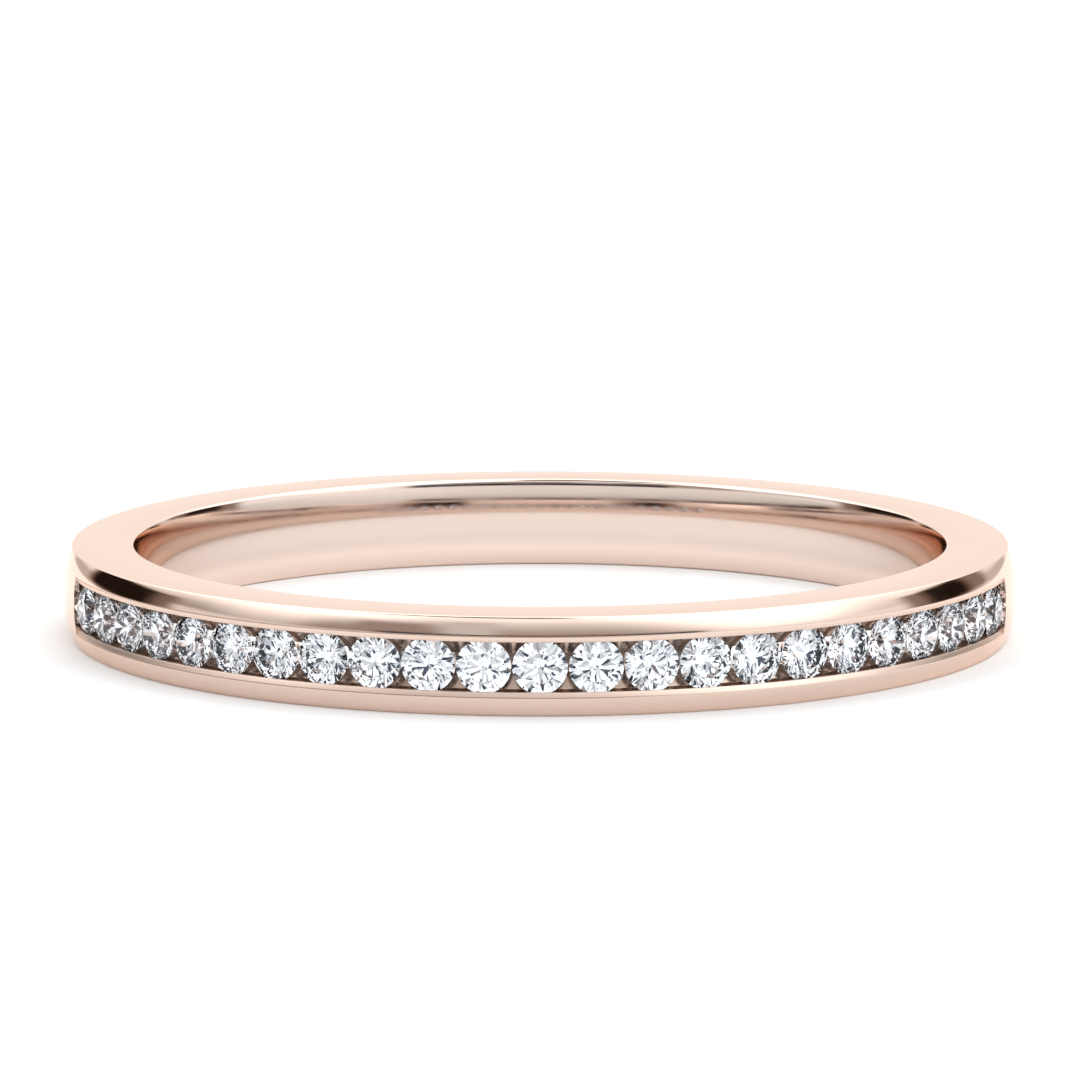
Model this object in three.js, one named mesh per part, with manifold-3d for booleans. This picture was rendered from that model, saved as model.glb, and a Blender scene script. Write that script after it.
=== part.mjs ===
// A channel-set half-eternity wedding band with 23 round brilliant diamonds.
// Millimetres, +Z up. The ring lies flat: its axis is Z, its lower side face is on z = 0,
// and the row of stones faces -Y.

import * as THREE from "three";
import { ConvexGeometry } from "three/addons/geometries/ConvexGeometry.js";
import { mergeVertices } from "three/addons/utils/BufferGeometryUtils.js";
import Module from "manifold-3d";

// ---------------------------------------------------------------- driving dimensions

// Band: a shallow court profile outside, a comfort-fit curve inside.
const BAND_WIDTH = 2.0;
const OUTER_RADIUS = 10.26;
const BORE_RADIUS = 8.675;
const COURT_SQUARE_TERM = 0.1004; // how fast the outside falls away from its middle
const COURT_FOURTH_TERM = 0.087;
const COMFORT_FIT_RISE = 0.085; // the bore is this much wider at its ends
const OUTER_EDGE_ROUND = 0.05;
const BORE_EDGE_ROUND = 0.08;
const BAND_SEGMENTS = 96;
const COURT_STEPS = 6;
const BORE_STEPS = 4;

// Stones: round brilliants on one circle, evenly spaced about the front.
const STONE_COUNT = 23;
const STONE_DIAMETER = 1.1;
const GIRDLE_GAP = 0.02; // clear space between two neighbouring girdles
const GIRDLE_THICKNESS = 0.03;
const GIRDLE_CIRCLE_RADIUS = 10.087;
const PAVILION_DEPTH = 0.43 * STONE_DIAMETER;
const TABLE_RATIO = 0.56;
const STAR_LENGTH = 0.5; // star facets reach this far from the table to the girdle
const LOWER_HALF_LENGTH = 0.77; // lower halves reach this far from the girdle to the culet
const STONE_TURN_STEP = THREE.MathUtils.degToRad(17); // each stone is turned by this much more

// Channel between the two rails.
const CHANNEL_HALF_WIDTH = 0.5;
const CHANNEL_HALF_ANGLE = THREE.MathUtils.degToRad(73.5);
const RAIL_BEVEL_WIDTH = 0.11; // bevelled strip along each rail's inner edge
const RAIL_BEVEL_DROP = 0.04;
const LEDGE_RADIUS = 9.88; // floor of the channel beside each rail
const LEDGE_FALL = 0.075; // the floor slopes inwards by this much towards its central groove
const GROOVE_HALF_WIDTH = 0.22;
const GROOVE_RADIUS = 9.5;

// Seat cut for each stone, and the open hole under it that lets light in.
const SEAT_CLEARANCE = 0.02;
const SEAT_LIP_HEIGHT = 0.07; // the rails close over the girdle within this height
const LIGHT_HOLE_RADIUS = 0.27;
const LIGHT_HOLE_BORE_RADIUS = 0.36; // the hole flares towards the bore
const SEAT_SEGMENTS = 12;

// ---------------------------------------------------------------- derived values

const HALF_WIDTH = BAND_WIDTH / 2;
const STONE_RADIUS = STONE_DIAMETER / 2;
const CROWN_TOP = OUTER_RADIUS - GIRDLE_CIRCLE_RADIUS; // tables are flush with the band
const PITCH_ANGLE = 2 * Math.asin((STONE_DIAMETER + GIRDLE_GAP) / (2 * GIRDLE_CIRCLE_RADIUS));
const BEYOND = 0.6; // how far a cutter runs past the metal

const GOLD = { color: 0xeec3ac, metalness: 1.0, roughness: 0.12 };
const DIAMOND = { color: 0xf4f8fb, metalness: 0.0, roughness: 0.02 };

// ---------------------------------------------------------------- solids

const wasm = await Module();
wasm.setup();

/** A closed three.js geometry as a solid that can be joined and cut. */
function solidFrom(geometry) {
  const bare = geometry.clone();
  bare.deleteAttribute("normal");
  bare.deleteAttribute("uv");
  const merged = mergeVertices(bare, 1e-5);
  const mesh = new wasm.Mesh({
    numProp: 3,
    vertProperties: new Float32Array(merged.attributes.position.array),
    triVerts: new Uint32Array(merged.index.array),
  });
  return new wasm.Manifold(mesh);
}

/** The finished solid as a three.js geometry. */
function geometryFrom(solid) {
  const mesh = solid.getMesh();
  const geometry = new THREE.BufferGeometry();
  geometry.setAttribute("position", new THREE.BufferAttribute(mesh.vertProperties, 3));
  geometry.setIndex(new THREE.BufferAttribute(mesh.triVerts, 1));
  geometry.computeVertexNormals();
  return geometry;
}

/** A ring about Z from a closed outline of [radius, z] points, counter-clockwise. */
function turnedRing(outline) {
  const points = outline.map(([radius, z]) => new THREE.Vector2(radius, z));
  points.push(points[0].clone());
  const geometry = new THREE.LatheGeometry(points, BAND_SEGMENTS);
  return geometry.rotateX(Math.PI / 2);
}

/** Outline points above z = 0 followed by their mirror images below it. */
function mirrored(upperHalf) {
  const lowerHalf = upperHalf.map(([radius, z]) => [radius, -z]).reverse();
  return [...upperHalf, ...lowerHalf];
}

// ---------------------------------------------------------------- band

function outsideRadius(z) {
  return OUTER_RADIUS - COURT_SQUARE_TERM * z ** 2 - COURT_FOURTH_TERM * z ** 4;
}

function insideRadius(z) {
  return BORE_RADIUS + COMFORT_FIT_RISE * (z / HALF_WIDTH) ** 2;
}

/** Points on a curve radius(z), from one z to another. */
function curvePoints(radius, fromZ, toZ, steps) {
  const points = [];
  for (let step = 0; step <= steps; step += 1) {
    const z = THREE.MathUtils.lerp(fromZ, toZ, step / steps);
    points.push([radius(z), z]);
  }
  return points;
}

/** The plain court-shaped ring, before the channel is cut. */
function bandBlank() {
  const courtEnd = HALF_WIDTH - OUTER_EDGE_ROUND;
  const boreEnd = HALF_WIDTH - BORE_EDGE_ROUND;
  const faceOuter = outsideRadius(courtEnd) - OUTER_EDGE_ROUND;
  const faceInner = insideRadius(boreEnd) + BORE_EDGE_ROUND;
  return turnedRing([
    ...curvePoints(outsideRadius, -courtEnd, courtEnd, COURT_STEPS),
    [faceOuter, HALF_WIDTH],
    [faceInner, HALF_WIDTH],
    ...curvePoints(insideRadius, boreEnd, -boreEnd, BORE_STEPS),
    [faceInner, -HALF_WIDTH],
    [faceOuter, -HALF_WIDTH],
  ]);
}

/** What the channel removes: a stepped slot with bevelled rims, over the front arc only. */
function channelCutter() {
  const rimZ = CHANNEL_HALF_WIDTH + RAIL_BEVEL_WIDTH;
  const rimRadius = outsideRadius(rimZ);
  const bevelSlope = RAIL_BEVEL_DROP / RAIL_BEVEL_WIDTH;
  const pastRimZ = rimZ + RAIL_BEVEL_WIDTH;
  const ring = turnedRing(
    mirrored([
      [OUTER_RADIUS + BEYOND, pastRimZ],
      [rimRadius + bevelSlope * RAIL_BEVEL_WIDTH, pastRimZ],
      [rimRadius - RAIL_BEVEL_DROP, CHANNEL_HALF_WIDTH],
      [LEDGE_RADIUS, CHANNEL_HALF_WIDTH],
      [LEDGE_RADIUS - LEDGE_FALL, GROOVE_HALF_WIDTH],
      [GROOVE_RADIUS, GROOVE_HALF_WIDTH],
    ]),
  );

  // A flat sector that keeps only the front of that ring.
  const startAngle = -Math.PI / 2 - CHANNEL_HALF_ANGLE;
  const endAngle = -Math.PI / 2 + CHANNEL_HALF_ANGLE;
  const sectorRadius = 2 * OUTER_RADIUS;
  const sectorShape = new THREE.Shape();
  sectorShape.moveTo(0, 0);
  sectorShape.lineTo(sectorRadius * Math.cos(startAngle), sectorRadius * Math.sin(startAngle));
  sectorShape.absarc(0, 0, sectorRadius, startAngle, endAngle);
  sectorShape.closePath();
  const sector = new THREE.ExtrudeGeometry(sectorShape, {
    depth: BAND_WIDTH,
    bevelEnabled: false,
    curveSegments: STONE_COUNT,
  });
  sector.translate(0, 0, -HALF_WIDTH);
  return solidFrom(ring).intersect(solidFrom(sector));
}

/** What one seat removes: a girdle pocket, the cone under it and a flared hole to the bore. */
function seatCutter() {
  const pocketRadius = STONE_RADIUS + SEAT_CLEARANCE;
  const pocketDepth = GIRDLE_THICKNESS / 2 + SEAT_CLEARANCE;
  const pavilionSlope = PAVILION_DEPTH / STONE_RADIUS;
  const coneBottom = pocketDepth + (pocketRadius - LIGHT_HOLE_RADIUS) * pavilionSlope;
  const boreDepth = GIRDLE_CIRCLE_RADIUS - BORE_RADIUS;
  const outline = [
    [0, -boreDepth - BEYOND],
    [LIGHT_HOLE_BORE_RADIUS, -boreDepth - BEYOND],
    [LIGHT_HOLE_BORE_RADIUS, -boreDepth],
    [LIGHT_HOLE_RADIUS, -coneBottom],
    [pocketRadius, -pocketDepth],
    [pocketRadius, pocketDepth],
    [CHANNEL_HALF_WIDTH, SEAT_LIP_HEIGHT],
    [0, SEAT_LIP_HEIGHT],
  ];
  const points = outline.map(([radius, height]) => new THREE.Vector2(radius, height));
  return new THREE.LatheGeometry(points, SEAT_SEGMENTS).rotateX(Math.PI / 2);
}

/** Angle of each stone about Z, measured from the front, from the left end of the row. */
function stoneAngles() {
  const middle = (STONE_COUNT - 1) / 2;
  return Array.from({ length: STONE_COUNT }, (_, index) => (index - middle) * PITCH_ANGLE);
}

/** Moves a piece made about its own +Z axis to the girdle circle, facing outwards. */
function seatPlacement(angle) {
  const outwards = new THREE.Matrix4().makeRotationX(Math.PI / 2);
  const toFront = new THREE.Matrix4().makeTranslation(0, -GIRDLE_CIRCLE_RADIUS, 0);
  const aroundRing = new THREE.Matrix4().makeRotationZ(angle);
  return aroundRing.multiply(toFront).multiply(outwards);
}

function bandGeometry() {
  let solid = solidFrom(bandBlank()).subtract(channelCutter());
  const cutter = seatCutter();
  for (const angle of stoneAngles()) {
    const placedCutter = cutter.clone().applyMatrix4(seatPlacement(angle));
    solid = solid.subtract(solidFrom(placedCutter));
  }
  return geometryFrom(solid).translate(0, 0, HALF_WIDTH);
}

// ---------------------------------------------------------------- diamonds

/** Points at equal angles on a circle about Z. */
function circlePoints(count, radius, height, firstAngle = 0) {
  return Array.from({ length: count }, (_, index) => {
    const angle = firstAngle + (index * 2 * Math.PI) / count;
    return new THREE.Vector3(radius * Math.cos(angle), radius * Math.sin(angle), height);
  });
}

/** A 57-facet round brilliant about its own +Z axis, with its girdle's middle on z = 0. */
function brilliantGeometry() {
  const mains = 8;
  const halfTurn = Math.PI / mains; // from a main facet's middle to the next star's middle
  const tableRadius = TABLE_RATIO * STONE_RADIUS;
  const girdleTop = GIRDLE_THICKNESS / 2;
  const crownSlope = (CROWN_TOP - girdleTop) / (STONE_RADIUS - tableRadius);
  const pavilionSlope = PAVILION_DEPTH / STONE_RADIUS;

  const tableEdge = tableRadius * Math.cos(halfTurn);
  const starRadius = THREE.MathUtils.lerp(tableEdge, STONE_RADIUS, STAR_LENGTH);
  const starHeight = girdleTop + (STONE_RADIUS - starRadius * Math.cos(halfTurn)) * crownSlope;
  const lowerRadius = (1 - LOWER_HALF_LENGTH) * STONE_RADIUS;
  const lowerDrop = (STONE_RADIUS - lowerRadius * Math.cos(halfTurn)) * pavilionSlope;

  return new ConvexGeometry([
    ...circlePoints(mains, tableRadius, CROWN_TOP),
    ...circlePoints(mains, starRadius, starHeight, halfTurn),
    ...circlePoints(2 * mains, STONE_RADIUS, girdleTop),
    ...circlePoints(2 * mains, STONE_RADIUS, -girdleTop),
    ...circlePoints(mains, lowerRadius, -girdleTop - lowerDrop, halfTurn),
    new THREE.Vector3(0, 0, -girdleTop - PAVILION_DEPTH),
  ]);
}

// ---------------------------------------------------------------- assembly

const group = new THREE.Group();

const band = new THREE.Mesh(bandGeometry(), new THREE.MeshStandardMaterial(GOLD));
band.name = "band";
group.add(band);

const brilliant = brilliantGeometry();
stoneAngles().forEach((angle, index) => {
  const aroundRing = new THREE.Group();
  aroundRing.rotation.z = angle;
  aroundRing.position.z = HALF_WIDTH;
  const diamond = new THREE.Mesh(brilliant.clone(), new THREE.MeshStandardMaterial(DIAMOND));
  diamond.name = `diamond_${String(index + 1).padStart(2, "0")}`;
  diamond.position.y = -GIRDLE_CIRCLE_RADIUS;
  diamond.rotation.set(Math.PI / 2, 0, index * STONE_TURN_STEP);
  aroundRing.add(diamond);
  group.add(aroundRing);
});

export default group;
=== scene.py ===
import math

import bmesh
import bpy
import numpy as np
from mathutils import Matrix, Vector


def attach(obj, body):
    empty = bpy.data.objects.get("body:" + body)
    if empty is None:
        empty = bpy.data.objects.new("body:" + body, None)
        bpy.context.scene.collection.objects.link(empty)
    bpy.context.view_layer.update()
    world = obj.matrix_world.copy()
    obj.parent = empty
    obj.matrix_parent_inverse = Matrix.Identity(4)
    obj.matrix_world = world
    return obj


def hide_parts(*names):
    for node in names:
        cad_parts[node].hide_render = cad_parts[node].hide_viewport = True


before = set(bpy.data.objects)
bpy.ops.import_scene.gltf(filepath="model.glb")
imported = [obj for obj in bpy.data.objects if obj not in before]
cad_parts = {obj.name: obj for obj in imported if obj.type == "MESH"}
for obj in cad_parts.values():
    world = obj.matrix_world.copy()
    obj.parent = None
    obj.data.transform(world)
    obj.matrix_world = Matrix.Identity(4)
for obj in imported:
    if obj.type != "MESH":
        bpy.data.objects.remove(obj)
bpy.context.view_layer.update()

MM = 0.001
TO_METRES = Matrix.Diagonal((MM, MM, MM, 1))

# ------------------------------------------------------------------ driving dimensions, in mm

# Band: the same court and comfort-fit curves as the CAD part, with every edge rounded.
BAND_WIDTH = 2.0
OUTER_RADIUS = 10.26
BORE_RADIUS = 8.675
COURT_SQUARE_TERM = 0.1004
COURT_FOURTH_TERM = 0.087
COMFORT_FIT_RISE = 0.085
OUTER_EDGE_ROUND = 0.05
BORE_EDGE_ROUND = 0.08

# Channel between the two rails.
CHANNEL_HALF_WIDTH = 0.5
CHANNEL_HALF_ANGLE = math.radians(73.5)
RAIL_BEVEL_WIDTH = 0.11
RAIL_BEVEL_DROP = 0.04
LEDGE_RADIUS = 9.88
LEDGE_FALL = 0.075
GROOVE_HALF_WIDTH = 0.22
GROOVE_RADIUS = 9.5
CREASE_ROUND = 0.06
RIM_ROUND = 0.02
LEDGE_ROUND = 0.025

# Stones and their seats.
STONE_COUNT = 23
STONE_DIAMETER = 1.1
GIRDLE_GAP = 0.02
GIRDLE_THICKNESS = 0.03
GIRDLE_CIRCLE_RADIUS = 10.087
PAVILION_DEPTH = 0.43 * STONE_DIAMETER
TABLE_RATIO = 0.56
STAR_LENGTH = 0.5
LOWER_HALF_LENGTH = 0.77
SEAT_CLEARANCE = 0.02
SEAT_LIP_HEIGHT = 0.07
LIGHT_HOLE_RADIUS = 0.27
LIGHT_HOLE_BORE_RADIUS = 0.36
LIGHT_HOLE_EDGE = 0.05
CUTTER_PAST_BORE = 0.3
STONE_TURN_STEP = math.radians(17)
STONE_LEAN = math.radians(0.8)  # each stone nods and tilts by up to this much
STONE_NOD_STEP = 5.1
STONE_TILT_STEP = 3.7
GIRDLE_STEPS = 64
SEAT_STEPS = 48
STONE_SINK = 0.005  # keeps the leaning tables inside the outer curve

# Camera: at the photographed angle, aimed a little above the ring's middle.
CAMERA_DISTANCE = 117.29
CAMERA_ELEVATION = math.radians(9.4386)
CAMERA_AIM_ABOVE = math.radians(0.459)
CAMERA_LENS = 180.68
CAMERA_SENSOR = 36.0

# Light: the level overhead and high up behind, and the colours of its bright, shaded and dark
# parts. Below it, the floor.
HIGH_LIGHT = 1.9
LIGHT_WHITE = (1.0, 1.0, 1.0, 1.0)
SHADE_WARM = (1.0, 0.62, 0.42, 1.0)
DARK_BLUE = (0.6, 0.8, 1.3, 1.0)
FLOOR_HALF_SIZE = 1.2  # metres
FLOOR_WHITE = (0.92, 0.92, 0.92, 1.0)

# Colours of the metal and the stones.
GOLD_LIGHT = (0.855, 0.675, 0.58, 1.0)
GOLD_DEEP = (0.825, 0.645, 0.55, 1.0)
# painted shade darkening the bore, and painted light paling its edges
GOLD_BORE_SHADE = (0.68, 0.555, 0.49, 1.0)
GOLD_BORE_EDGE_LIGHT = (0.88, 0.72, 0.635, 1.0)
GOLD_GLANCING = (1.0, 0.9, 0.835, 1.0)
# painted light: pale metal under the stones, brightening them from behind
SEAT_PAINTED_LIGHT = (0.96, 0.94, 0.93, 1.0)
# painted shade, browning the recesses and the rails' creases
RECESS_PAINTED_SHADE = (0.42, 0.29, 0.22, 1.0)
DIAMOND_CLEAR = (0.9, 0.93, 0.97, 1.0)
DIAMOND_COOL = (0.8, 0.86, 0.94, 1.0)
DIAMOND_SURFACE = (0.2, 0.23, 0.27, 1.0)
DIAMOND_IOR = 2.417

# ------------------------------------------------------------------ derived values

HALF_WIDTH = BAND_WIDTH / 2
STONE_RADIUS = STONE_DIAMETER / 2
CROWN_TOP = OUTER_RADIUS - GIRDLE_CIRCLE_RADIUS
PITCH_ANGLE = 2 * math.asin((STONE_DIAMETER + GIRDLE_GAP) / (2 * GIRDLE_CIRCLE_RADIUS))


def stone_angles():
    """Angle of each stone about Z from the front, from the left end of the row."""
    middle = (STONE_COUNT - 1) / 2
    return [(index - middle) * PITCH_ANGLE for index in range(STONE_COUNT)]


def stone_placement(angle):
    """Matrix that takes a piece made about its own +Z axis to its seat, facing outwards."""
    around_ring = Matrix.Rotation(angle, 4, "Z")
    to_front = Matrix.Translation((0, -GIRDLE_CIRCLE_RADIUS, HALF_WIDTH))
    outwards = Matrix.Rotation(math.pi / 2, 4, "X")
    return around_ring @ to_front @ outwards


def polar(radius, angle, height):
    return Vector((radius * math.cos(angle), radius * math.sin(angle), height))


# ------------------------------------------------------------------ camera


def make_camera():
    data = bpy.data.cameras.new("camera")
    data.lens = CAMERA_LENS
    data.sensor_width = CAMERA_SENSOR
    data.clip_start = 0.01
    data.clip_end = 10.0
    camera = bpy.data.objects.new("camera", data)
    bpy.context.scene.collection.objects.link(camera)
    camera.location = (
        0.0,
        -CAMERA_DISTANCE * math.cos(CAMERA_ELEVATION) * MM,
        (CAMERA_DISTANCE * math.sin(CAMERA_ELEVATION) + HALF_WIDTH) * MM,
    )
    down = CAMERA_ELEVATION - CAMERA_AIM_ABOVE
    camera.rotation_euler = (math.pi / 2 - down, 0.0, 0.0)
    bpy.context.scene.camera = camera


make_camera()

# ------------------------------------------------------------------ node helpers


class Nodes:
    """A small helper that adds nodes to a tree and links them."""

    def __init__(self, tree):
        self.tree = tree
        tree.nodes.clear()

    def add(self, kind, settings=(), **inputs):
        node = self.tree.nodes.new(kind)
        for name, value in dict(settings).items():
            setattr(node, name, value)
        for name, value in inputs.items():
            self.put(node, name.replace("_", " "), value)
        return node

    def put(self, node, socket, value):
        """Sets an input, by name or number, to a value or to another node's output."""
        target = node.inputs[socket]
        if isinstance(value, bpy.types.NodeSocket):
            self.tree.links.new(value, target)
        else:
            target.default_value = value

    def math(self, operation, *values):
        node = self.tree.nodes.new("ShaderNodeMath")
        node.operation = operation
        for number, value in enumerate(values):
            self.put(node, number, value)
        return node.outputs[0]

    def smooth(self, value, from_low, from_high, to_low=0.0, to_high=1.0):
        """A smooth step of value between two levels."""
        node = self.tree.nodes.new("ShaderNodeMapRange")
        node.interpolation_type = "SMOOTHSTEP"
        for number, given in enumerate((value, from_low, from_high, to_low, to_high)):
            self.put(node, number, given)
        return node.outputs[0]

    def window(self, value, low, high, edge):
        """1 between low and high, falling to 0 over edge on both sides."""
        rise = self.smooth(value, low - edge, low)
        fall = self.smooth(value, high, high + edge, 1.0, 0.0)
        return self.math("MULTIPLY", rise, fall)

    def blend(self, base, level, mask):
        """base, changed to level where mask is 1."""
        change = self.math("MULTIPLY", self.math("SUBTRACT", level, base), mask)
        return self.math("ADD", base, change)

    def split(self, vector):
        node = self.tree.nodes.new("ShaderNodeSeparateXYZ")
        self.put(node, 0, vector)
        return node.outputs[:]

    def mix_colour(self, factor, first, second):
        node = self.tree.nodes.new("ShaderNodeMix")
        node.data_type = "RGBA"
        self.put(node, 0, factor)
        self.put(node, 6, first)
        self.put(node, 7, second)
        return node.outputs[2]

    def noise(self, place, scale, detail):
        return self.add("ShaderNodeTexNoise", Vector=place, Scale=scale, Detail=detail).outputs[0]


# ------------------------------------------------------------------ light


def make_world():
    """Soft studio light by direction: azimuth from the front, positive to the right, and elevation."""
    world = bpy.data.worlds.new("studio")
    bpy.context.scene.world = world
    world.use_nodes = True
    nodes = Nodes(world.node_tree)
    direction = nodes.add("ShaderNodeTexCoord").outputs["Generated"]
    x, y, z = nodes.split(direction)
    degrees = 180 / math.pi
    elevation = nodes.math("MULTIPLY", nodes.math("ARCSINE", z), degrees)
    towards_front = nodes.math("MULTIPLY", y, -1.0)
    azimuth = nodes.math("MULTIPLY", nodes.math("ARCTAN2", x, towards_front), degrees)
    from_front = nodes.math("ABSOLUTE", azimuth)

    def panel(base, level, azimuths, elevations, side_edge, top_edge):
        """base with a soft-edged panel of that level over a range of azimuth and elevation."""
        across = nodes.window(azimuth, *azimuths, side_edge)
        upwards = nodes.window(elevation, *elevations, top_edge)
        return nodes.blend(base, level, nodes.math("MULTIPLY", across, upwards))

    def sum_of_steps(*steps):
        """Sum of smooth steps of the azimuth, each given as (from, to, level before, level after)."""
        total = nodes.smooth(azimuth, *steps[0])
        for step in steps[1:]:
            total = nodes.math("ADD", total, nodes.smooth(azimuth, *step))
        return total

    # In front the light grows between two elevations, which fall to the right and to the far left.
    start = sum_of_steps((15, 58, 10, -10), (-30, -5, 5, 0), (-66, -50, -15, 0), (-95, -72, 10, 0))
    end = sum_of_steps((5, 60, 70, 28), (-55, -15, -24, 0), (68, 96, 0, 26))
    front = nodes.smooth(elevation, start, end, 0.4, 1.95)
    front = panel(front, 0.37, (-42, -31), (14, 25), 8, 8)
    front = panel(front, 0.7, (-20, -14), (12, 32), 7, 7)

    # Near the horizon it is a little brighter to the right.
    near_horizon = nodes.smooth(azimuth, 0.0, 50.0, 0.88, 1.04)
    near_horizon = nodes.math("MULTIPLY", near_horizon, nodes.smooth(elevation, -1.0, 8.0, 0.6, 1.0))
    front = nodes.blend(front, near_horizon, nodes.smooth(elevation, 9.0, 13.0, 1.0, 0.0))

    # Two dark slots in front give the stones their contrast: one at the horizon and one higher up.
    front = panel(front, 0.03, (-90, 34), (-2, 1.9), 10, 1.2)
    front = panel(front, 0.06, (-36, 36), (10.6, 14.4), 6, 1.2)

    # Behind it is evenly bright, with dark flags on each side between front and back.
    behind = nodes.smooth(elevation, 15.0, 50.0, 1.07, HIGH_LIGHT)
    level = nodes.blend(front, behind, nodes.smooth(from_front, 95.0, 140.0))
    level = panel(level, 0.6, (-152, -140), (-4, 4), 6, 6)
    level = panel(level, 0.65, (140, 152), (-4, 4), 6, 6)
    level = panel(level, 0.28, (102, 133), (3, 17), 7, 4)
    level = panel(level, 0.015, (110, 122), (4, 18), 7, 4)
    level = panel(level, 0.22, (-134, -102), (3, 17), 7, 4)
    level = panel(level, 0.015, (-134, -110), (3, 17), 7, 4)

    # The ceiling is bright too, except in front on the left.
    level = nodes.blend(level, HIGH_LIGHT, nodes.smooth(elevation, 46.0, 56.0))
    level = panel(level, 0.05, (-60, 8), (52, 90), 7, 7)

    # Shade is warm, apart from the bluish darkest parts in front.
    lit = nodes.smooth(level, 0.06, 0.2)
    aside = nodes.smooth(from_front, 60.0, 90.0)
    shade = nodes.mix_colour(nodes.math("MAXIMUM", lit, aside), DARK_BLUE, SHADE_WARM)
    colour = nodes.mix_colour(nodes.smooth(level, -0.15, 0.75), shade, LIGHT_WHITE)
    background = nodes.add("ShaderNodeBackground", Color=colour)
    nodes.put(background, "Strength", level)
    output = nodes.add("ShaderNodeOutputWorld")
    nodes.put(output, "Surface", background.outputs[0])


def make_floor():
    mesh = bpy.data.meshes.new("floor")
    half = FLOOR_HALF_SIZE
    corners = [(-half, -half, 0), (half, -half, 0), (half, half, 0), (-half, half, 0)]
    mesh.from_pydata(corners, [], [(0, 1, 2, 3)])
    floor = bpy.data.objects.new("floor", mesh)
    bpy.context.scene.collection.objects.link(floor)
    material = bpy.data.materials.new("floor_white")
    material.use_nodes = True
    shader = material.node_tree.nodes["Principled BSDF"]
    shader.inputs["Base Color"].default_value = FLOOR_WHITE
    shader.inputs["Roughness"].default_value = 1.0
    shader.inputs["Specular IOR Level"].default_value = 0.0
    mesh.materials.append(material)


make_world()
make_floor()

# ------------------------------------------------------------------ materials

SEAT_LIGHT_SQUARE = (0.6, 0.75)  # the painted light on the seats ends here, in squared stone radii
ABOVE_BORE = (BORE_RADIUS + 0.12, 0.13)  # the painted recess shade and seat light start here: limit and change for past()
# painted shade on the ledges between the seats
LEDGE_PAINTED_SHADE = 0.45  # the ledges between the seats are this far on from gold to brown
POLISHED_ROUGHNESS = (0.06, 0.1)
DULL_ROUGHNESS = 0.36
BORE_LIGHT_FADE = (0.3, 0.35)  # painted light: the bore turns paler here, outwards from its middle, for past()
CREASE_SHADE_LINE = (-0.004, 0.008)  # the painted line of shade spans this much on either side of the bevel's edge
CREASE_SHADE_BLUR = 0.008

# Noise: scales per metre, and the height of the polishing ripple in metres.
GOLD_CLOUD_SCALE = 900.0
GOLD_RIPPLE_SCALE = 450.0
GOLD_RIPPLE_HEIGHT = 0.00002
DIAMOND_CLOUD_SCALE = 1500.0


def ring_coordinates(nodes, place):
    """(angle from the front, radius, height over the middle) of a place in the ring's own frame."""
    x, y, z = nodes.split(place)
    angle = nodes.math("ARCTAN2", x, nodes.math("MULTIPLY", y, -1.0))
    square = nodes.math("ADD", nodes.math("POWER", x, 2.0), nodes.math("POWER", y, 2.0))
    return angle, nodes.math("SQRT", square), nodes.math("SUBTRACT", z, HALF_WIDTH * MM)


def past(nodes, length, limit, over):
    """0 where a length is short of a limit, in mm, and 1 from over mm past it."""
    return nodes.smooth(length, limit * MM, (limit + over) * MM)


def until(nodes, length, limit, over):
    """1 where a length is short of a limit, in mm, and 0 from over mm past it."""
    return nodes.smooth(length, limit * MM, (limit + over) * MM, 1.0, 0.0)


def product(nodes, total, *factors):
    for factor in factors:
        total = nodes.math("MULTIPLY", total, factor)
    return total


def beside_channel(nodes, angle, edge):
    """1 at the angles of the channel, falling to 0 over edge radians past its ends."""
    return nodes.window(angle, -CHANNEL_HALF_ANGLE, CHANNEL_HALF_ANGLE, edge)


def from_seat_axis(nodes, angle, height):
    """Square of the distance from the axis of the nearest stone, in stone radii."""
    turns = nodes.math("DIVIDE", angle, PITCH_ANGLE)
    off_centre = nodes.math("SUBTRACT", turns, nodes.math("ROUND", turns))
    along = nodes.math("MULTIPLY", off_centre, PITCH_ANGLE * GIRDLE_CIRCLE_RADIUS / STONE_RADIUS)
    across = nodes.math("DIVIDE", height, STONE_RADIUS * MM)
    return nodes.math("ADD", nodes.math("POWER", along, 2.0), nodes.math("POWER", across, 2.0))


def seat_light_mask(nodes, angle, radius, height):
    """1 on the seats right under the stones, painted pale as light that brightens the stones from
    behind.
    """
    under = nodes.smooth(from_seat_axis(nodes, angle, height), *SEAT_LIGHT_SQUARE, 1.0, 0.0)
    above_bore = past(nodes, radius, *ABOVE_BORE)
    return product(nodes, under, beside_channel(nodes, angle, 0.01), above_bore)


def shaded_recess_mask(nodes, angle, radius, height):
    """1 where shade is painted: round the cut seats, in the groove under the stones, on the walls
    beside them and partly on the ledges.
    """
    square = from_seat_axis(nodes, angle, height)
    within_seat = nodes.smooth(square, 1.0, 1.1, 1.0, 0.0)
    past_seat_light = nodes.smooth(square, *SEAT_LIGHT_SQUARE)
    seat = product(nodes, within_seat, past_seat_light)
    groove = product(nodes, until(nodes, radius, LEDGE_RADIUS - 0.2, 0.08), past_seat_light)
    wall = past(nodes, radius, LEDGE_RADIUS + 0.01, 0.04)
    ledge = product(nodes, LEDGE_PAINTED_SHADE, nodes.math("SUBTRACT", 1.0, within_seat))
    anywhere = nodes.math("MAXIMUM", seat, groove)
    for place in (wall, ledge):
        anywhere = nodes.math("MAXIMUM", anywhere, place)

    wall_height = (CHANNEL_HALF_WIDTH + 0.01) * MM
    inside = nodes.window(height, -wall_height, wall_height, 0.02 * MM)
    below_rim = until(nodes, radius, GIRDLE_CIRCLE_RADIUS - 0.04, 0.06)
    above_bore = past(nodes, radius, *ABOVE_BORE)
    return product(nodes, anywhere, inside, below_rim, above_bore)


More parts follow.
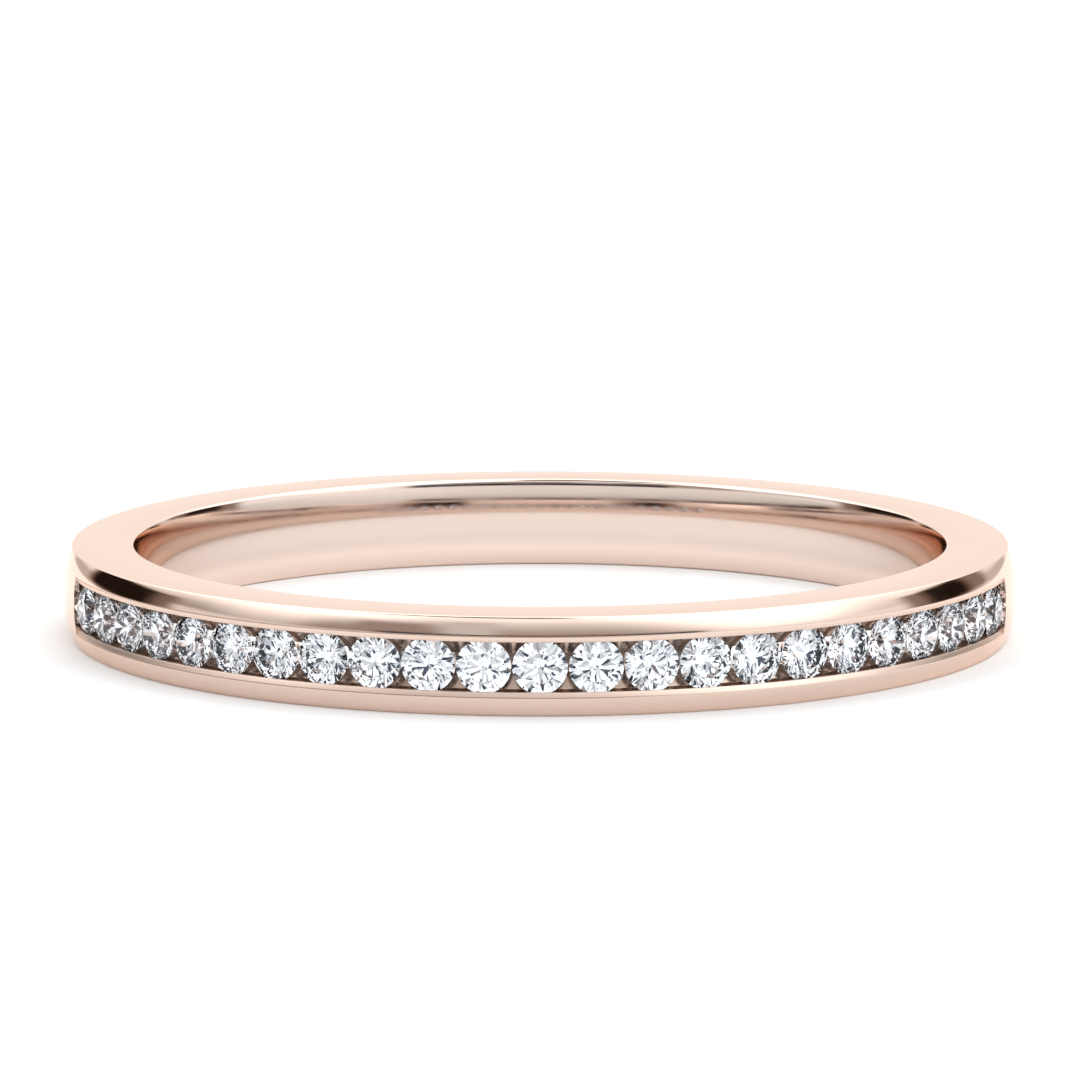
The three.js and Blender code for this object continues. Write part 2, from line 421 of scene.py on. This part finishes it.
def crease_shade_mask(nodes, angle, radius, height):
    """1 on a painted line of shade along the bevelled edge of each rail, fading to the right."""
    rim = CHANNEL_HALF_WIDTH + RAIL_BEVEL_WIDTH
    from_middle = nodes.math("ABSOLUTE", height)
    low, high = ((rim + offset) * MM for offset in CREASE_SHADE_LINE)
    line = nodes.window(from_middle, low, high, CREASE_SHADE_BLUR * MM)
    outside = past(nodes, radius, GIRDLE_CIRCLE_RADIUS, 0.05)
    fading = nodes.smooth(angle, math.radians(2), math.radians(20), 1.0, 0.15)
    return product(nodes, line, outside, fading, beside_channel(nodes, angle, 0.01))


def bevel_mask(nodes, angle, radius, height):
    """1 on the bevelled inner edge of each rail, which is brushed by the setting tool."""
    low = (CHANNEL_HALF_WIDTH - 0.01) * MM
    high = (CHANNEL_HALF_WIDTH + RAIL_BEVEL_WIDTH - 0.01) * MM
    across = nodes.window(nodes.math("ABSOLUTE", height), low, high, 0.01 * MM)
    outside = past(nodes, radius, GIRDLE_CIRCLE_RADIUS, 0.04)
    return product(nodes, across, outside, beside_channel(nodes, angle, 0.003))


def bore_mask(nodes, radius):
    """1 on the bore and 0 on the top face, fading across the rounded edge between them."""
    return until(nodes, radius, BORE_RADIUS + COMFORT_FIT_RISE, 0.05)


def gold_colour(nodes, cloud, shade_and_dull, angle, radius, height):
    """Rose gold that varies with a cloud, with painted shade on the bore and in the recesses, and
    painted light paling the bore's edges and the seats under the stones.
    """
    tone = nodes.mix_colour(cloud, GOLD_LIGHT, GOLD_DEEP)
    # painted shade on the bore, with painted light paling it towards its edges
    bore_edge_light = past(nodes, nodes.math("ABSOLUTE", height), *BORE_LIGHT_FADE)
    painted_bore_tone = nodes.mix_colour(bore_edge_light, GOLD_BORE_SHADE, GOLD_BORE_EDGE_LIGHT)
    tone = nodes.mix_colour(bore_mask(nodes, radius), tone, painted_bore_tone)
    # painted light: the seats under the stones are pale to brighten the stones
    tone = nodes.mix_colour(seat_light_mask(nodes, angle, radius, height), tone, SEAT_PAINTED_LIGHT)
    # painted shade: brown in the recesses and along the rails' creases
    return nodes.mix_colour(shade_and_dull, tone, RECESS_PAINTED_SHADE)


def gold_material():
    """Polished rose gold with faint polishing marks, dull and painted dark as shade where the seats are
    cut.
    """
    material = bpy.data.materials.new("polished_rose_gold")
    material.use_nodes = True
    nodes = Nodes(material.node_tree)
    place = nodes.add("ShaderNodeTexCoord").outputs["Object"]
    where = ring_coordinates(nodes, place)
    # painted shade in the recesses and as a dark line along each rail's crease
    shade_and_dull = nodes.math("MAXIMUM", shaded_recess_mask(nodes, *where), crease_shade_mask(nodes, *where))

    cloud = nodes.noise(place, GOLD_CLOUD_SCALE, 3.0)
    ripple = nodes.noise(place, GOLD_RIPPLE_SCALE, 1.0)
    colour = gold_colour(nodes, cloud, shade_and_dull, *where)
    polish = nodes.smooth(cloud, 0.35, 0.7, *POLISHED_ROUGHNESS)
    dull = nodes.math("MAXIMUM", shade_and_dull, bevel_mask(nodes, *where))
    roughness = nodes.blend(polish, DULL_ROUGHNESS, dull)
    bump = nodes.add("ShaderNodeBump", Strength=0.1, Distance=GOLD_RIPPLE_HEIGHT, Height=ripple)

    shader = nodes.add("ShaderNodeBsdfPrincipled")
    nodes.put(shader, "Base Color", colour)
    nodes.put(shader, "Specular Tint", GOLD_GLANCING)
    nodes.put(shader, "Metallic", 1.0)
    nodes.put(shader, "Roughness", roughness)
    nodes.put(shader, "Normal", bump.outputs[0])
    output = nodes.add("ShaderNodeOutputMaterial")
    nodes.put(output, "Surface", shader.outputs[0])
    return material


def diamond_material():
    """Clear colourless diamond; faint growth clouds vary its tone a little from place to place."""
    material = bpy.data.materials.new("diamond")
    material.use_nodes = True
    nodes = Nodes(material.node_tree)
    place = nodes.add("ShaderNodeTexCoord").outputs["Object"]
    cloud = nodes.noise(place, DIAMOND_CLOUD_SCALE, 2.0)
    shader = nodes.add("ShaderNodeBsdfPrincipled")
    nodes.put(shader, "Base Color", nodes.mix_colour(cloud, DIAMOND_CLEAR, DIAMOND_COOL))
    nodes.put(shader, "Roughness", nodes.smooth(cloud, 0.4, 0.7, 0.0, 0.004))
    nodes.put(shader, "IOR", DIAMOND_IOR)
    nodes.put(shader, "Specular Tint", DIAMOND_SURFACE)
    nodes.put(shader, "Transmission Weight", 1.0)
    output = nodes.add("ShaderNodeOutputMaterial")
    nodes.put(output, "Surface", shader.outputs[0])
    return material


# ------------------------------------------------------------------ outlines


def outside_radius(z):
    return OUTER_RADIUS - COURT_SQUARE_TERM * z**2 - COURT_FOURTH_TERM * z**4


def inside_radius(z):
    return BORE_RADIUS + COMFORT_FIT_RISE * (z / HALF_WIDTH) ** 2


def curve_points(radius, from_z, to_z, steps):
    """Points on a curve radius(z), from one z to another."""
    heights = np.linspace(from_z, to_z, steps + 1)
    return [(radius(z), z) for z in heights]


ARC_STEPS = 5


def round_corner(before, corner, after, radius):
    """Points of an arc of that radius, tangent to both sides of a corner."""
    corner = np.array(corner)
    back = np.array(before) - corner
    ahead = np.array(after) - corner
    back = back / np.linalg.norm(back)
    ahead = ahead / np.linalg.norm(ahead)
    half_angle = math.acos(np.clip(back @ ahead, -1, 1)) / 2
    reach = radius / math.tan(half_angle)
    bisector = (back + ahead) / np.linalg.norm(back + ahead)
    centre = corner + bisector * radius / math.sin(half_angle)
    start = corner + back * reach - centre
    end = corner + ahead * reach - centre
    sweep = math.atan2(start[0] * end[1] - start[1] * end[0], start @ end)
    points = []
    for step in range(ARC_STEPS + 1):
        turn = sweep * step / ARC_STEPS
        cos, sin = math.cos(turn), math.sin(turn)
        points.append(
            (
                centre[0] + start[0] * cos - start[1] * sin,
                centre[1] + start[0] * sin + start[1] * cos,
            )
        )
    return points


def rounded(outline):
    """An open or closed outline of (point, corner radius) with its corners rounded."""
    points = []
    for number, (point, radius) in enumerate(outline):
        if radius > 0:
            before = outline[number - 1][0]
            after = outline[(number + 1) % len(outline)][0]
            points += round_corner(before, point, after, radius)
        else:
            points.append(point)
    return points


# ------------------------------------------------------------------ band

RIM_Z = CHANNEL_HALF_WIDTH + RAIL_BEVEL_WIDTH
RIM_RADIUS = outside_radius(RIM_Z)
SHARED_Z = RIM_Z + 0.03  # above this the section is the same with and without the channel
CHANNEL_STEPS = 294
PLAIN_STEPS = 213
SHOULDER_STEPS = 10
CURVE_STEPS = 24


def shared_outline():
    """From the upper rail's shoulder over the top face, down the bore and back to the lower rail."""
    edge_radius = outside_radius(HALF_WIDTH)
    bore_end = inside_radius(HALF_WIDTH)
    court_end = HALF_WIDTH - 2 * OUTER_EDGE_ROUND
    bore_from = HALF_WIDTH - 2 * BORE_EDGE_ROUND
    upper = curve_points(outside_radius, SHARED_Z, court_end, SHOULDER_STEPS)
    outline = [(point, 0) for point in upper]
    outline += [((edge_radius, HALF_WIDTH), OUTER_EDGE_ROUND)]
    outline += [((bore_end, HALF_WIDTH), BORE_EDGE_ROUND)]
    outline += [(point, 0) for point in curve_points(inside_radius, bore_from, -bore_from, CURVE_STEPS)]
    outline += [((bore_end, -HALF_WIDTH), BORE_EDGE_ROUND)]
    outline += [((edge_radius, -HALF_WIDTH), OUTER_EDGE_ROUND)]
    lower = curve_points(outside_radius, -court_end, -SHARED_Z, SHOULDER_STEPS)
    outline += [(point, 0) for point in lower]
    return rounded(outline)


def plain_middle():
    """The court curve across the middle, between the two ends of the shared outline."""
    return curve_points(outside_radius, -SHARED_Z, SHARED_Z, CURVE_STEPS)[1:-1]


def channel_middle():
    """The lower rail's inner edge, down into the channel, and up over the upper rail's edge."""
    upper = [
        ((GROOVE_RADIUS, GROOVE_HALF_WIDTH), LEDGE_ROUND),
        ((LEDGE_RADIUS - LEDGE_FALL, GROOVE_HALF_WIDTH), LEDGE_ROUND),
        ((LEDGE_RADIUS, CHANNEL_HALF_WIDTH), LEDGE_ROUND),
        ((RIM_RADIUS - RAIL_BEVEL_DROP, CHANNEL_HALF_WIDTH), RIM_ROUND),
        ((RIM_RADIUS, RIM_Z), CREASE_ROUND),
    ]
    lower = [((radius, -z), corner) for (radius, z), corner in reversed(upper)]
    ends = (outside_radius(SHARED_Z), SHARED_Z)
    outline = [((ends[0], -ends[1]), 0), *lower, *upper, (ends, 0)]
    return rounded(outline)[1:-1]


def around(angle, point):
    """A point of the section at an angle about Z from the front, in metres."""
    radius, z = point
    return (radius * math.sin(angle) * MM, -radius * math.cos(angle) * MM, (z + HALF_WIDTH) * MM)


def add_rings(bm, outline, angles):
    return [[bm.verts.new(around(angle, point)) for point in outline] for angle in angles]


def band_blank():
    """The ring with its channel: one section swept round the front, the other round the rest."""
    bm = bmesh.new()
    front = np.linspace(-CHANNEL_HALF_ANGLE, CHANNEL_HALF_ANGLE, CHANNEL_STEPS + 1)
    rest = np.linspace(CHANNEL_HALF_ANGLE, 2 * math.pi - CHANNEL_HALF_ANGLE, PLAIN_STEPS + 1)
    shared = add_rings(bm, shared_outline(), [*front, *rest[1:-1]])
    channel = add_rings(bm, channel_middle(), front)
    plain = add_rings(bm, plain_middle(), rest)

    def skin(first, second):
        for number in range(len(first) - 1):
            bm.faces.new((first[number], second[number], second[number + 1], first[number + 1]))

    for number, ring in enumerate(shared):
        skin(ring, shared[(number + 1) % len(shared)])

    def full_middle(ring, middle):
        return [ring[-1], *middle, ring[0]]

    for number in range(CHANNEL_STEPS):
        skin(
            full_middle(shared[number], channel[number]),
            full_middle(shared[number + 1], channel[number + 1]),
        )
    for number in range(PLAIN_STEPS):
        here = CHANNEL_STEPS + number
        skin(
            full_middle(shared[here], plain[number]),
            full_middle(shared[(here + 1) % len(shared)], plain[number + 1]),
        )

    # The channel's two square ends.
    for at, channel_ring, plain_ring in ((CHANNEL_STEPS, -1, 0), (0, 0, -1)):
        wall = [shared[at][-1], *channel[channel_ring], shared[at][0], *reversed(plain[plain_ring])]
        bm.faces.new(wall)
    bmesh.ops.recalc_face_normals(bm, faces=bm.faces)
    return bm


def seat_outline():
    """(distance from the stone's axis, height over its girdle) of what one seat removes."""
    pocket_radius = STONE_RADIUS + SEAT_CLEARANCE
    pocket_depth = GIRDLE_THICKNESS / 2 + SEAT_CLEARANCE
    pavilion_slope = PAVILION_DEPTH / STONE_RADIUS
    cone_bottom = pocket_depth + (pocket_radius - LIGHT_HOLE_RADIUS) * pavilion_slope
    bore_depth = GIRDLE_CIRCLE_RADIUS - BORE_RADIUS
    edge = LIGHT_HOLE_EDGE
    inside_bore = -bore_depth - CUTTER_PAST_BORE
    return [
        (0, inside_bore),
        (LIGHT_HOLE_BORE_RADIUS + 3 * edge, inside_bore),
        (LIGHT_HOLE_BORE_RADIUS + edge / 2, -bore_depth - edge / 5),
        (LIGHT_HOLE_BORE_RADIUS, -bore_depth + edge / 2),
        (LIGHT_HOLE_BORE_RADIUS - edge / 3, -bore_depth + 2 * edge),
        (LIGHT_HOLE_RADIUS, -cone_bottom),
        (pocket_radius, -pocket_depth),
        (pocket_radius, pocket_depth),
        (CHANNEL_HALF_WIDTH, SEAT_LIP_HEIGHT),
        (0, SEAT_LIP_HEIGHT),
    ]


def seat_cutters(angles):
    """The seats of the stones at these angles, as one closed mesh."""
    bm = bmesh.new()
    outline = seat_outline()
    for angle in angles:
        placement = stone_placement(angle)
        bottom = bm.verts.new(placement @ polar(0, 0, outline[0][1]) * MM)
        top = bm.verts.new(placement @ polar(0, 0, outline[-1][1]) * MM)
        rings = []
        for segment in range(SEAT_STEPS):
            turn = 2 * math.pi * segment / SEAT_STEPS
            places = [placement @ polar(radius, turn, height) for radius, height in outline[1:-1]]
            rings.append([bm.verts.new(place * MM) for place in places])
        for segment, ring in enumerate(rings):
            following = rings[(segment + 1) % SEAT_STEPS]
            bm.faces.new((bottom, following[0], ring[0]))
            for number in range(len(ring) - 1):
                bm.faces.new((ring[number], following[number], following[number + 1], ring[number + 1]))
            bm.faces.new((top, ring[-1], following[-1]))
    bmesh.ops.recalc_face_normals(bm, faces=bm.faces)
    return bm


def new_object(name, bm):
    mesh = bpy.data.meshes.new(name)
    bm.to_mesh(mesh)
    bm.free()
    made = bpy.data.objects.new(name, mesh)
    bpy.context.scene.collection.objects.link(made)
    return made


def cut(target, cutter):
    """Cuts one object from another and removes the cutter."""
    modifier = target.modifiers.new("cut", "BOOLEAN")
    modifier.operation = "DIFFERENCE"
    modifier.solver = "MANIFOLD"
    modifier.object = cutter
    graph = bpy.context.evaluated_depsgraph_get()
    result = bpy.data.meshes.new_from_object(target.evaluated_get(graph), depsgraph=graph)
    target.modifiers.clear()
    target.data = result
    bpy.data.objects.remove(cutter)


class TurnedSurface:
    """True normals of a surface turned about an axis, for the corners of faces that lie on it."""

    SMOOTH_WITHIN = math.radians(25)
    DISTANCE_SCALE = 0.002 * MM
    MISMATCH_SCALE = 0.02

    def __init__(self, outline, to_axis, closed, flip=False, ball=None):
        points = np.array(outline) * MM
        following = np.roll(points, -1, axis=0)
        if not closed:
            points, following = points[:-1], following[:-1]
        along = following - points
        length = np.linalg.norm(along, axis=1)
        along = along / length[:, None]
        normal = np.stack([along[:, 1], -along[:, 0]], axis=1) * (-1 if flip else 1)
        self.start, self.along, self.length = points, along, length
        self.to_axis = np.array(to_axis)
        self.ball = ball
        self.first, self.last = normal.copy(), normal.copy()
        count = len(points)
        for number in range(count if closed else count - 1):
            after = (number + 1) % count
            if normal[number] @ normal[after] > math.cos(self.SMOOTH_WITHIN):
                shared = normal[number] + normal[after]
                shared = shared / np.linalg.norm(shared)
                self.last[number] = shared
                self.first[after] = shared

    def corners_near(self, places):
        """Numbers of the places inside the surface's ball, or all of them where it has none."""
        if self.ball is None:
            return np.arange(len(places))
        middle, radius = self.ball
        return np.flatnonzero(np.linalg.norm(places - middle, axis=1) < radius)

    def normals(self, places, face_normals):
        """(normals, error) for each place; the error is large where the surface doesn't fit."""
        rotation, shift = self.to_axis[:3, :3], self.to_axis[:3, 3]
        local = places @ rotation.T + shift
        local_face = face_normals @ rotation.T
        radius = np.hypot(local[:, 0], local[:, 1])
        outward = local[:, :2] / np.maximum(radius, 1e-12)[:, None]
        face = np.stack([(local_face[:, :2] * outward).sum(axis=1), local_face[:, 2]], axis=1)
        offset = np.stack([radius, local[:, 2]], axis=1)[:, None, :] - self.start[None]
        share = np.clip((offset * self.along).sum(axis=2) / self.length, 0, 1)
        gap = offset - (share * self.length)[:, :, None] * self.along
        distance = np.linalg.norm(gap, axis=2)
        blended = self.first[None] * (1 - share)[:, :, None] + self.last[None] * share[:, :, None]
        blended = blended / np.linalg.norm(blended, axis=2)[:, :, None]
        mismatch = 1 - (blended * face[:, None, :]).sum(axis=2)
        error = distance / self.DISTANCE_SCALE + mismatch / self.MISMATCH_SCALE
        best = error.argmin(axis=1)
        row = np.arange(len(places))
        chosen = blended[row, best]
        local_normal = np.concatenate([outward * chosen[:, :1], chosen[:, 1:]], axis=1)
        return local_normal @ rotation, error[row, best]


CHUNK = 20000
WORST_FIT = 2.0  # a corner with no surface of a smaller error keeps its face's normal


def set_true_normals(mesh, surfaces):
    """Gives each face corner the normal of the turned surface that it lies on, where one fits."""
    count = len(mesh.loops)
    vertex_of = np.empty(count, np.int32)
    mesh.loops.foreach_get("vertex_index", vertex_of)
    places = np.empty(len(mesh.vertices) * 3, np.float32)
    mesh.vertices.foreach_get("co", places)
    places = places.reshape(-1, 3)[vertex_of].astype(float)
    totals = np.empty(len(mesh.polygons), np.int32)
    mesh.polygons.foreach_get("loop_total", totals)
    faces = np.empty(len(mesh.polygons) * 3, np.float32)
    mesh.polygons.foreach_get("normal", faces)
    face_normals = np.repeat(faces.reshape(-1, 3), totals, axis=0).astype(float)
    best_error = np.full(count, WORST_FIT)
    normals = face_normals.copy()
    for surface in surfaces:
        chosen = surface.corners_near(places)
        for chunk in np.array_split(chosen, max(1, len(chosen) // CHUNK)):
            found, error = surface.normals(places[chunk], face_normals[chunk])
            better = error < best_error[chunk]
            best_error[chunk[better]] = error[better]
            normals[chunk[better]] = found[better]
    mesh.shade_smooth()
    mesh.normals_split_custom_set(normals.tolist())
    return (best_error >= WORST_FIT).sum()


SEAT_REACH = 1.3  # all of a seat's surface is nearer than this to the tip of its stone


def make_band(material):
    band = new_object("band_polished", band_blank())
    angles = stone_angles()
    cut(band, new_object("cutters", seat_cutters(angles[0::2])))
    cut(band, new_object("cutters", seat_cutters(angles[1::2])))

    to_ring = Matrix.Translation((0, 0, -HALF_WIDTH * MM))
    surfaces = []
    for middle in (plain_middle(), channel_middle()):
        surfaces.append(TurnedSurface([*shared_outline(), *middle], to_ring, closed=True))
    for angle in angles:
        placement = stone_placement(angle)
        to_seat = TO_METRES @ placement.inverted() @ TO_METRES.inverted()
        middle = np.array(placement @ Vector((0, 0, -PAVILION_DEPTH))) * MM
        ball = (middle, SEAT_REACH * MM)
        surfaces.append(TurnedSurface(seat_outline(), to_seat, closed=False, flip=True, ball=ball))
    missed = set_true_normals(band.data, surfaces)
    print("band:", len(band.data.polygons), "faces,", missed, "corners keep a flat normal")
    band.data.materials.clear()
    band.data.materials.append(material)
    return band


# ------------------------------------------------------------------ diamonds


def brilliant_planes():
    """(point, outward normal) of the 57 facets of a round brilliant about +Z."""
    mains = 8
    half = math.pi / mains
    table_radius = TABLE_RATIO * STONE_RADIUS
    girdle_top = GIRDLE_THICKNESS / 2
    crown_slope = (CROWN_TOP - girdle_top) / (STONE_RADIUS - table_radius)
    pavilion_slope = PAVILION_DEPTH / STONE_RADIUS
    table_edge = table_radius * math.cos(half)
    star_radius = table_edge + (STONE_RADIUS - table_edge) * STAR_LENGTH
    star_height = girdle_top + (STONE_RADIUS - star_radius * math.cos(half)) * crown_slope
    lower_radius = (1 - LOWER_HALF_LENGTH) * STONE_RADIUS
    lower_height = -girdle_top - (STONE_RADIUS - lower_radius * math.cos(half)) * pavilion_slope
    culet = Vector((0, 0, -girdle_top - PAVILION_DEPTH))

    def facet(first, second, third):
        normal = (second - first).cross(third - first).normalized()
        if normal.dot(first) < 0:
            normal.negate()
        return first, normal

    planes = [(Vector((0, 0, CROWN_TOP)), Vector((0, 0, 1)))]
    for number in range(mains):
        main_angle = 2 * half * number
        star_angle = main_angle + half
        table_here = polar(table_radius, main_angle, CROWN_TOP)
        table_next = polar(table_radius, main_angle + 2 * half, CROWN_TOP)
        star_before = polar(star_radius, main_angle - half, star_height)
        star = polar(star_radius, star_angle, star_height)
        lower_before = polar(lower_radius, main_angle - half, lower_height)
        lower = polar(lower_radius, star_angle, lower_height)
        planes.append(facet(table_here, star_before, star))
        planes.append(facet(table_here, table_next, star))
        planes.append(facet(culet, lower_before, lower))
        for side in (-1, 1):
            edge_angle = star_angle + side * half
            for height, tip in ((girdle_top, star), (-girdle_top, lower)):
                at_star = polar(STONE_RADIUS, star_angle, height)
                at_main = polar(STONE_RADIUS, edge_angle, height)
                planes.append(facet(at_star, at_main, tip))
    return planes


def brilliant_mesh():
    """A round girdle cut by the planes of the facets."""
    bm = bmesh.new()
    bmesh.ops.create_cone(
        bm,
        cap_ends=True,
        segments=GIRDLE_STEPS,
        radius1=STONE_RADIUS,
        radius2=STONE_RADIUS,
        depth=3 * STONE_RADIUS,
    )
    for point, normal in brilliant_planes():
        geometry = [*bm.verts, *bm.edges, *bm.faces]
        made = bmesh.ops.bisect_plane(
            bm, geom=geometry, dist=1e-7, plane_co=point, plane_no=normal, clear_outer=True
        )
        cut_edges = [item for item in made["geom_cut"] if isinstance(item, bmesh.types.BMEdge)]
        rim = [edge for edge in cut_edges if edge.is_boundary]
        if rim:
            bmesh.ops.contextual_create(bm, geom=rim)
    bmesh.ops.remove_doubles(bm, verts=bm.verts, dist=1e-5)
    bmesh.ops.recalc_face_normals(bm, faces=bm.faces)
    mesh = bpy.data.meshes.new("brilliant")
    bm.to_mesh(mesh)
    bm.free()
    return mesh


def make_diamonds(material):
    brilliant = brilliant_mesh()
    print("brilliant:", len(brilliant.polygons), "faces")
    for index, angle in enumerate(stone_angles()):
        name = f"diamond_{index + 1:02d}"
        turn = Matrix.Rotation(index * STONE_TURN_STEP, 4, "Z")
        nod = Matrix.Rotation(STONE_LEAN * math.sin(STONE_NOD_STEP * index), 4, "X")
        tilt = Matrix.Rotation(STONE_LEAN * math.cos(STONE_TILT_STEP * index), 4, "Y")
        sink = Matrix.Translation((0, 0, -STONE_SINK))
        mesh = brilliant.copy()
        mesh.transform(TO_METRES @ stone_placement(angle) @ sink @ nod @ tilt @ turn)
        mesh.materials.append(material)
        stone = bpy.data.objects.new(name + "_cut", mesh)
        bpy.context.scene.collection.objects.link(stone)
        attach(stone, "root")
        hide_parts(name)
    bpy.data.meshes.remove(brilliant)


band = make_band(gold_material())
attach(band, "root")
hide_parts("band")
make_diamonds(diamond_material())

# ------------------------------------------------------------------ render look

scene = bpy.context.scene
scene.view_settings.view_transform = "Standard"
scene.view_settings.look = "None"
scene.cycles.max_bounces = 24
scene.cycles.transmission_bounces = 24
scene.cycles.glossy_bounces = 6
